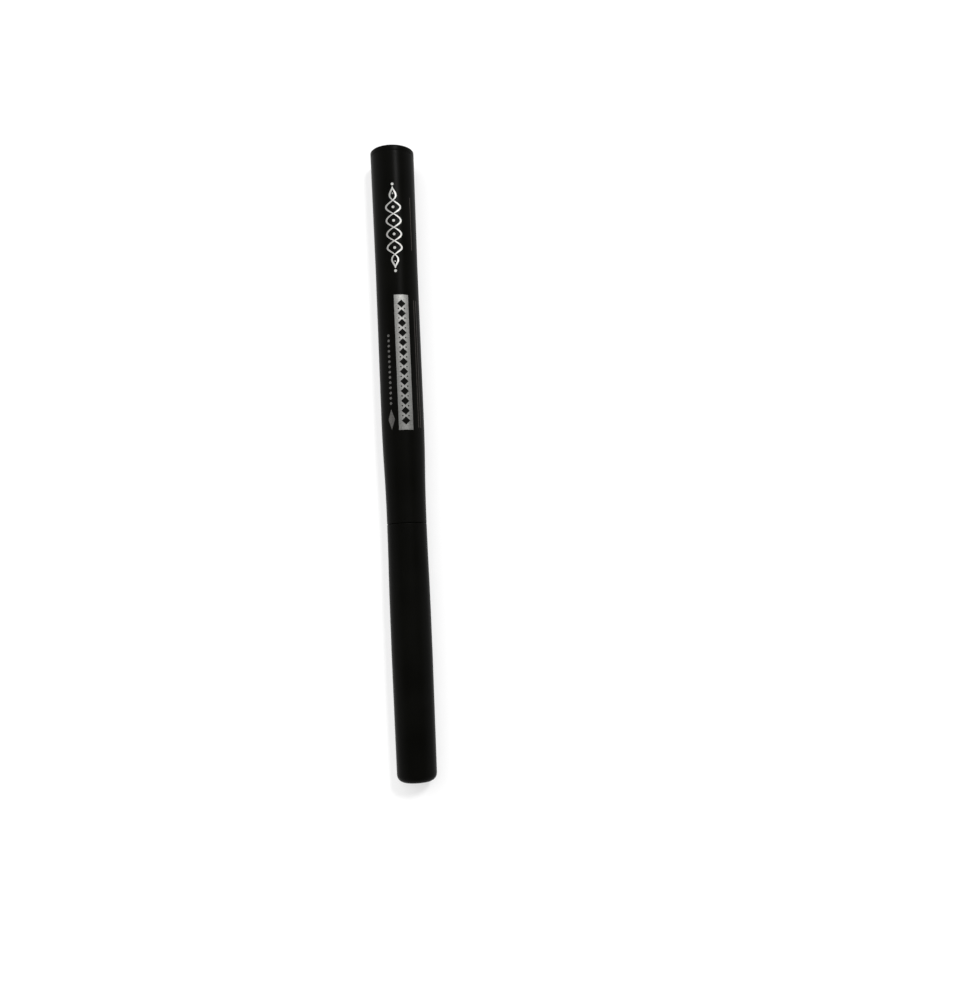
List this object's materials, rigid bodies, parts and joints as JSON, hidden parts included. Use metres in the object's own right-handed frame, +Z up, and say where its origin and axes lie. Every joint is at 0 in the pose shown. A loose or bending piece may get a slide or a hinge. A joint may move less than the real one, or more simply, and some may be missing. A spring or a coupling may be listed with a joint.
{
  "type": "liquid eyeliner pen",
  "caption": "Slim black liquid eyeliner pen with a pull-off cap, a sprung inner cap over its brush tip, a finned ink collector and an ink tank with a loose mixing ball.",
  "frame": {"origin": "on the surface that the pen lies on, under the middle of its length and width", "axes": "+Y along the pen from cap to tail, +Z up from the surface, +X across"},
  "size_m": [0.0098, 0.1386, 0.0097],
  "materials": {
    "barrel_black": "satin black moulding",
    "cap_black": "satin black moulding",
    "plug_black": "satin black moulding",
    "nose_black": "polished black moulding",
    "liner_black": "plain black moulding",
    "tank_natural": "natural moulding stained by ink",
    "collector_white": "white moulding",
    "seal_rubber": "black rubber",
    "gasket_rubber": "milky soft elastomer",
    "ball_steel": "polished steel",
    "spring_steel": "drawn wire",
    "relay_fibre": "bonded fibre soaked with ink",
    "brush_fibre": "filaments wet with ink",
    "collar_white": "white moulding",
    "inner_cap_white": "white moulding",
    "silver_print": "hot-stamped silver foil",
    "faint_print": "worn thin silver print"
  },
  "bodies": {
    "barrel": {"barrel": "barrel_black", "tail_plug": "plug_black", "ink_tank": "tank_natural", "collector": "collector_white", "collector_ring": "seal_rubber", "relay_core": "relay_fibre", "front_section": "nose_black", "brush_collar": "collar_white", "brush_tip": "brush_fibre"},
    "neck_ring": {"neck_ring": "seal_rubber"},
    "cap": {"cap_shell": "cap_black", "cap_liner": "liner_black", "cap_spring": "spring_steel"},
    "inner_cap": {"inner_cap": "inner_cap_white", "inner_cap_gasket": "gasket_rubber"},
    "mixing_ball": {"mixing_ball": "ball_steel"}
  },
  "joints": [
    {"name": "cap_turn", "type": "hinge", "parent": "barrel", "child": "neck_ring", "pos_m": [0, -0.0198, 0.00485], "axis": [0, 1, 0], "continuous": true},
    {"name": "cap_pull", "type": "slide", "parent": "neck_ring", "child": "cap", "axis": [0, -1, 0], "range_m": [0, 0.05]},
    {"name": "inner_cap_plunge", "type": "slide", "parent": "cap", "child": "inner_cap", "axis": [0, -1, 0], "range_m": [0, 0.002], "stiffness_N_per_m": 150, "springref_m": -0.003, "deforming": ["cap_spring"]},
    {"name": "ball_roll", "type": "slide", "parent": "barrel", "child": "mixing_ball", "axis": [0, 1, 0], "range_m": [-0.0165, 0.0165]}
  ]
}
